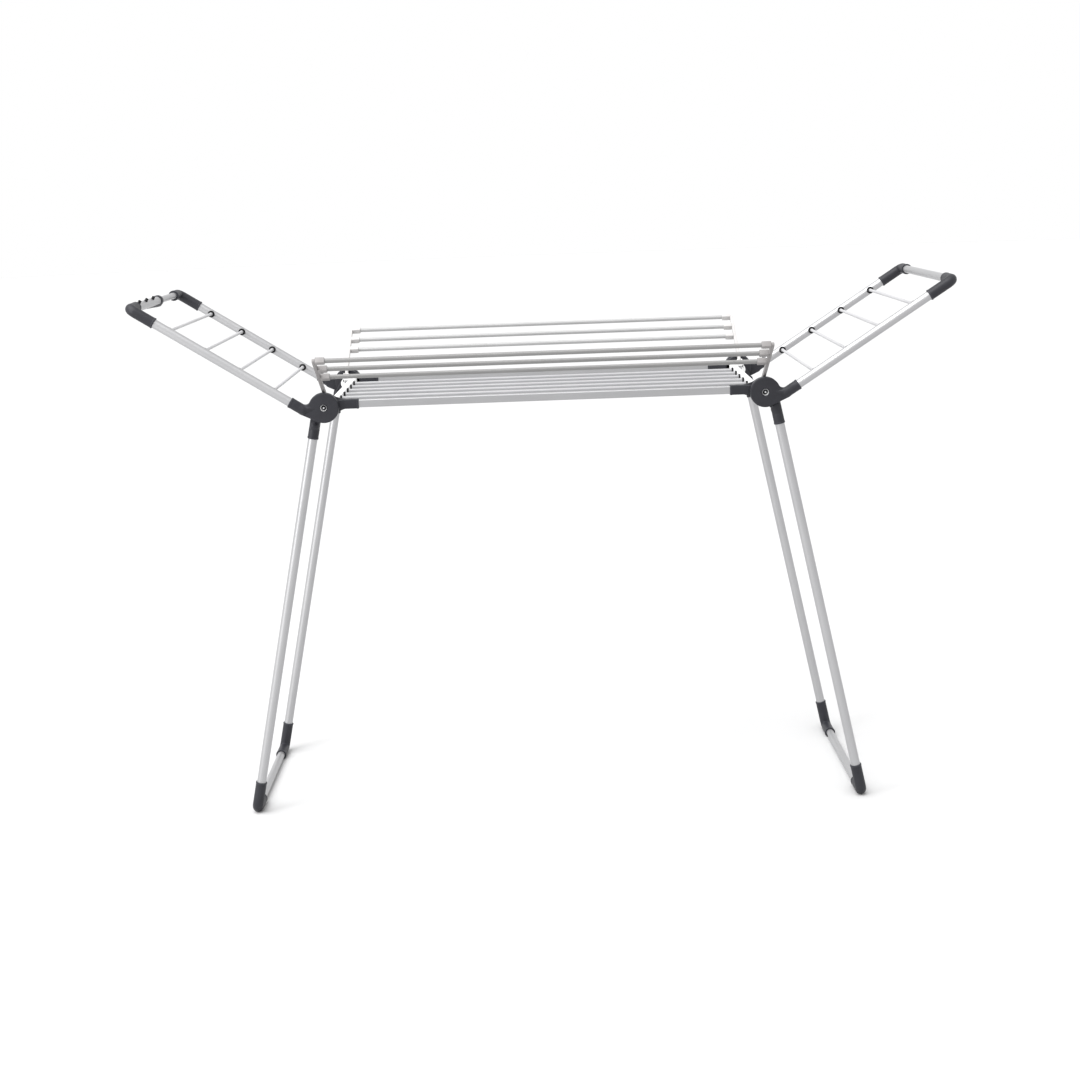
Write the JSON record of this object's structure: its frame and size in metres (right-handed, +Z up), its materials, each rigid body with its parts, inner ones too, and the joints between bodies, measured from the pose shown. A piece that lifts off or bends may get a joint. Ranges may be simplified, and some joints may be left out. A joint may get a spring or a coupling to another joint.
{
  "type": "clothes drying rack",
  "caption": "Gull-wing clothes drying rack with drying rods in a flat centre frame, two raised wings, front and back side racks and two splayed folding leg frames.",
  "frame": {"origin": "on the floor, midway between the hubs and midway from front to back", "axes": "+X right along the drying rods, +Y to the back, +Z up"},
  "size_m": [1.8099, 0.7822, 1.1942],
  "materials": {
    "aluminium_tube": "satin anodised",
    "anthracite_plastic": "fine matt grain",
    "coated_rod": "satin powder coat",
    "rack_grey": "satin",
    "white_paint": "satin powder coat",
    "white_plastic": "satin",
    "steel": "zinc plated",
    "black_rubber": "matt"
  },
  "bodies": {
    "centre_frame": {"front_rail": "aluminium_tube", "back_rail": "aluminium_tube", "rail_connector_fl": "anthracite_plastic", "rail_connector_fr": "anthracite_plastic", "rail_connector_bl": "anthracite_plastic", "rail_connector_br": "anthracite_plastic", "left_crossbar": "white_paint", "right_crossbar": "white_paint", "centre_rod_1": "coated_rod", "centre_rod_2": "coated_rod", "centre_rod_3": "coated_rod", "centre_rod_4": "coated_rod", "centre_rod_5": "coated_rod", "rod_caps": "black_rubber", "hub_brackets": "white_plastic", "hub_bolts": "steel", "hub_nuts": "steel", "hub_washers": "white_plastic", "rack_pins": "steel"},
    "left_wing": {"wing_connector_fl": "anthracite_plastic", "wing_connector_bl": "anthracite_plastic", "wing_tube_fl": "aluminium_tube", "wing_tube_bl": "aluminium_tube", "left_wing_elbows": "anthracite_plastic", "left_end_bar": "aluminium_tube", "left_wing_rods": "white_paint", "left_grommets": "black_rubber", "hanger_sleeve": "aluminium_tube", "hanger_collar": "anthracite_plastic", "hanger_pegs": "black_rubber"},
    "right_wing": {"wing_connector_fr": "anthracite_plastic", "wing_connector_br": "anthracite_plastic", "wing_tube_fr": "aluminium_tube", "wing_tube_br": "aluminium_tube", "right_wing_elbows": "anthracite_plastic", "right_end_bar": "aluminium_tube", "right_wing_rods": "white_paint", "right_grommets": "black_rubber"},
    "left_legs": {"leg_connector_fl": "anthracite_plastic", "leg_connector_bl": "anthracite_plastic", "leg_tube_fl": "aluminium_tube", "leg_tube_bl": "aluminium_tube", "foot_elbow_fl": "anthracite_plastic", "foot_elbow_bl": "anthracite_plastic", "left_floor_bar": "aluminium_tube"},
    "right_legs": {"leg_connector_fr": "anthracite_plastic", "leg_connector_br": "anthracite_plastic", "leg_tube_fr": "aluminium_tube", "leg_tube_br": "aluminium_tube", "foot_elbow_fr": "anthracite_plastic", "foot_elbow_br": "anthracite_plastic", "right_floor_bar": "aluminium_tube"},
    "front_rack": {"front_rack_arms": "rack_grey", "front_rack_rods": "rack_grey", "front_rack_sockets": "rack_grey"},
    "back_rack": {"back_rack_arms": "rack_grey", "back_rack_rods": "rack_grey", "back_rack_sockets": "rack_grey"}
  },
  "joints": [
    {"name": "left_wing_fold", "type": "hinge", "parent": "centre_frame", "child": "left_wing", "pos_m": [-0.485, 0, 0.948], "axis": [0, 1, 0], "range_deg": [0, 64]},
    {"name": "right_wing_fold", "type": "hinge", "parent": "centre_frame", "child": "right_wing", "pos_m": [0.485, 0, 0.948], "axis": [0, -1, 0], "range_deg": [0, 64]},
    {"name": "left_legs_fold", "type": "hinge", "parent": "centre_frame", "child": "left_legs", "pos_m": [-0.485, 0, 0.948], "axis": [0, -1, 0], "range_deg": [0, 99]},
    {"name": "right_legs_fold", "type": "hinge", "parent": "centre_frame", "child": "right_legs", "pos_m": [0.485, 0, 0.948], "axis": [0, 1, 0], "range_deg": [0, 99]},
    {"name": "front_rack_fold", "type": "hinge", "parent": "centre_frame", "child": "front_rack", "pos_m": [0, -0.208, 0.964], "axis": [-1, 0, 0], "range_deg": [0, 148]},
    {"name": "back_rack_fold", "type": "hinge", "parent": "centre_frame", "child": "back_rack", "pos_m": [0, 0.208, 0.964], "axis": [1, 0, 0], "range_deg": [0, 148]}
  ]
}
